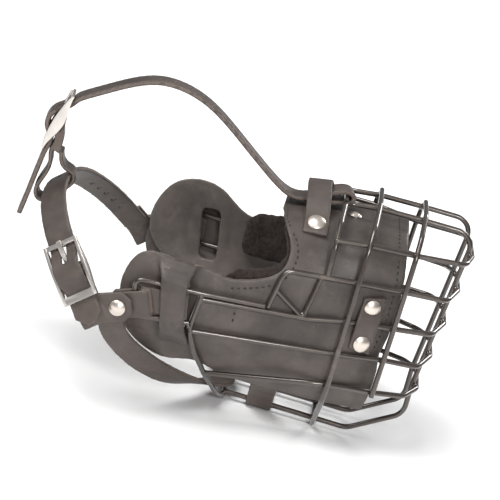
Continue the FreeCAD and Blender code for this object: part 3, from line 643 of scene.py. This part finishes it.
def bead_tree():
    """A weld bead at each point."""
    t = Tree("weld beads", [("Radius", "NodeSocketFloat", 1.7 * MM),
                            ("Seed", "NodeSocketInt", 5),
                            ("Material", "NodeSocketMaterial", None)])
    e = t.entry.outputs
    ball = t.add("GeometryNodeMeshIcoSphere", Radius=1.0, Subdivisions=3)
    wobble = t.add("FunctionNodeRandomValue", {"data_type": "FLOAT"}, Seed=e["Seed"])
    lows = [s for s in wobble.inputs if s.name in ("Min", "Max") and s.type == "VALUE"]
    lows[0].default_value, lows[1].default_value = 0.9, 1.08
    factor = next(o for o in wobble.outputs if o.type == "VALUE" and o.enabled)
    wide = t.add("ShaderNodeMath", {"operation": "MULTIPLY"})
    t.tree.links.new(e["Radius"], wide.inputs[0])
    t.tree.links.new(factor, wide.inputs[1])
    size = t.add("ShaderNodeCombineXYZ")
    for k in range(3):
        t.tree.links.new(wide.outputs[0], size.inputs[k])
    put = t.add("GeometryNodeInstanceOnPoints", Points=e["Geometry"], Instance=ball.outputs[0],
                Scale=size.outputs[0])
    return t.close(put.outputs[0])


def grown(name, mesh, tree, values):
    """Run a tree on a mesh of points or lines; the result is a plain mesh."""
    obj = bpy.data.objects.new(name, mesh)
    bpy.context.scene.collection.objects.link(obj)
    mod = obj.modifiers.new("grow", "NODES")
    mod.node_group = tree
    ids = {s.name: s.identifier for s in tree.interface.items_tree
           if s.item_type == "SOCKET" and s.in_out == "INPUT"}
    for key, value in values.items():
        mod[ids[key]] = value
    return finished(obj)


def skin_tree(obj):
    bm = bmesh.new()
    bm.from_mesh(obj.data)
    tree = BVHTree.FromBMesh(bm)
    bm.free()
    return tree


def smooth_line(points, steps=14):
    """Catmull-Rom through points."""
    out = []
    pts = [np.array(p, float) for p in points]
    pts = [2 * pts[0] - pts[1]] + pts + [2 * pts[-1] - pts[-2]]
    for a, b, c, d in zip(pts, pts[1:], pts[2:], pts[3:]):
        for k in range(steps):
            t = k / steps
            out.append(0.5 * ((2 * b) + (c - a) * t + (2 * a - 5 * b + 4 * c - d) * t * t
                              + (3 * b - a - 3 * c + d) * t ** 3))
    out.append(pts[-2])
    return out


def nose_stitches():
    """Stitch rows inside the nosepiece's rear and front edges, and the short side seams."""
    tree = skin_tree(SKINS["nose"])
    rows = []

    def side(points, s):
        line = []
        for x, z in smooth_line(points):
            hit = tree.ray_cast(at(x, s * 95, z), Vector((0, -s, 0)))
            if hit[0] is not None:
                line.append(hit[0])
        return line

    def over(points):
        line = []
        for x, y in smooth_line(points):
            hit = tree.ray_cast(at(x, y, 160), Vector((0, 0, -1)))
            if hit[0] is not None:
                line.append(hit[0])
        return line

    rear = [(-62.0, 76.0), (-54.6, 77.6), (-45.0, 80.8), (-37.4, 86.4), (-34.4, 96.4),
            (-36.4, 103.6), (-39.6, 107.0)]
    front = [(18.4, 59.5), (20.2, 75.0), (19.4, 95.0), (17.2, 107.0)]
    for s in (-1, 1):
        rows.append(side(rear, s))
        rows.append(side(front, s))
        rows.append(side([(-57.6, 66.5), (-57.2, 59.0)], s))
    rows.append(over([(-43.0, -37.0), (-45.6, -30.0), (-46.6, -15.0), (-46.8, 0.0),
                      (-46.6, 15.0), (-45.6, 30.0), (-43.0, 37.0)]))
    rows.append(over([(16.0, -31.0), (14.8, -24.0), (13.8, -12.0), (13.6, 0.0), (13.8, 12.0),
                      (14.8, 24.0), (16.0, 31.0)]))
    verts, edges = [], []
    for row in rows:
        start = len(verts)
        verts += [tuple(p) for p in row]
        edges += [(start + k, start + k + 1) for k in range(len(row) - 1)]
    mesh = bpy.data.meshes.new("stitch_lines")
    mesh.from_pydata(verts, edges, [])
    obj = grown("nosepiece_stitches", mesh, stitch_tree(), {
        "Pitch": STITCH_PITCH * MM, "Length": STITCH_LONG * MM, "Width": STITCH_WIDE * MM,
        "Seed": 11, "Material": THREAD})
    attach(obj, "cage")


def weld_beads():
    """Beads where two wires of the basket meet."""
    names = [n for n in NODES if n.startswith(("side_wire", "hoop", "heel", "long_wire",
                                               "top_cross", "arm_", "brace", "strut"))]
    points, boxes = {}, {}
    for n in names:
        co = np.array([v.co for v in NODES[n].data.vertices])
        points[n], boxes[n] = co, (co.min(0), co.max(0))
    spots = []
    for i, a in enumerate(names):
        for b in names[i + 1:]:
            lo = np.maximum(boxes[a][0], boxes[b][0]) - 0.001
            hi = np.minimum(boxes[a][1], boxes[b][1]) + 0.001
            if (lo > hi).any():
                continue
            pa = points[a][((points[a] >= lo) & (points[a] <= hi)).all(1)]
            pb = points[b][((points[b] >= lo) & (points[b] <= hi)).all(1)]
            if not len(pa) or not len(pb):
                continue
            kd = KDTree(len(pb))
            for k, p in enumerate(pb):
                kd.insert(p, k)
            kd.balance()
            near = np.array([p for p in pa if kd.find(p)[2] < 0.00035])
            while len(near):
                d = np.linalg.norm(near - near[0], axis=1)
                group = near[d < 0.006]
                spots.append(group.mean(0))
                near = near[d >= 0.006]
    kept = []
    for p in spots:
        if all(np.linalg.norm(p - q) > 0.0025 for q in kept):
            kept.append(p)
    mesh = bpy.data.meshes.new("weld_spots")
    mesh.from_pydata([tuple(p) for p in kept], [], [])
    obj = grown("basket_weld_beads", mesh, bead_tree(), {"Radius": BEAD * MM, "Seed": 5,
                                                         "Material": WIRE})
    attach(obj, "cage")
    return kept


# ---------------------------------------------------------------- studio
def studio():
    bpy.ops.mesh.primitive_plane_add(size=9.0, location=(0, 0, 0))
    floor = bpy.context.object
    floor.name = "floor"
    floor.data.materials.append(FLOOR)
    world = bpy.data.worlds.new("studio")
    bpy.context.scene.world = world
    world.use_nodes = True
    tree = world.node_tree
    # A white ceiling over dimmer walls, so round and polished pieces read as round.
    place = tree.nodes.new("ShaderNodeTexCoord")
    split = tree.nodes.new("ShaderNodeSeparateXYZ")
    rise = tree.nodes.new("ShaderNodeMapRange")
    tint = tree.nodes.new("ShaderNodeMix")
    tint.data_type = "RGBA"
    for k, value in enumerate((0.05, 0.75)):
        rise.inputs[1 + k].default_value = value
    tint.inputs[6].default_value = (0.16, 0.16, 0.165, 1)
    tint.inputs[7].default_value = (1, 1, 1, 1)
    back = tree.nodes["Background"]
    tree.links.new(place.outputs["Generated"], split.inputs[0])
    tree.links.new(split.outputs[2], rise.inputs[0])
    tree.links.new(rise.outputs[0], tint.inputs[0])
    tree.links.new(tint.outputs[2], back.inputs[0])
    back.inputs[1].default_value = 0.50

    def lamp(name, spot, size, power, kind="AREA"):
        light = bpy.data.lights.new(name, kind)
        if kind == "SUN":
            light.angle = size
        else:
            light.shape, light.size = "SQUARE", size
        light.energy = power
        obj = bpy.data.objects.new(name, light)
        obj.location = spot
        obj.rotation_euler = (Vector((0, 0, 0.07)) - Vector(spot)).to_track_quat(
            "-Z", "Y").to_euler()
        bpy.context.scene.collection.objects.link(obj)

    lamp("key", (-0.45, -0.35, 1.0), math.radians(34), 2.5, "SUN")
    lamp("front", (0.30, -0.95, 0.50), 0.22, 5.0)
    lamp("rim", (0.6, 0.8, 0.7), 0.35, 5.0)


def camera():
    cam = bpy.data.cameras.new("camera")
    cam.lens, cam.sensor_width = 112.46, 36.0
    cam.clip_start, cam.clip_end = 0.05, 30.0
    obj = bpy.data.objects.new("camera", cam)
    right = Vector((0.95768603, 0.10311273, 0.26871032))
    ahead = Vector((-0.0219356, 0.9570554, -0.28907404))
    above = right.cross(ahead).normalized()
    turn = Matrix((right, above, -ahead)).transposed().to_4x4()
    obj.matrix_world = Matrix.Translation(at(-41.40, -825.36, 328.47)) @ turn
    bpy.context.scene.collection.objects.link(obj)
    bpy.context.scene.camera = obj


camera()
studio()
carried_nodes()
body_leather()
felt_lining()
straps()
crown_strap()
buckles()
nose_stitches()
weld_beads()
bpy.context.scene.view_settings.view_transform = "Standard"
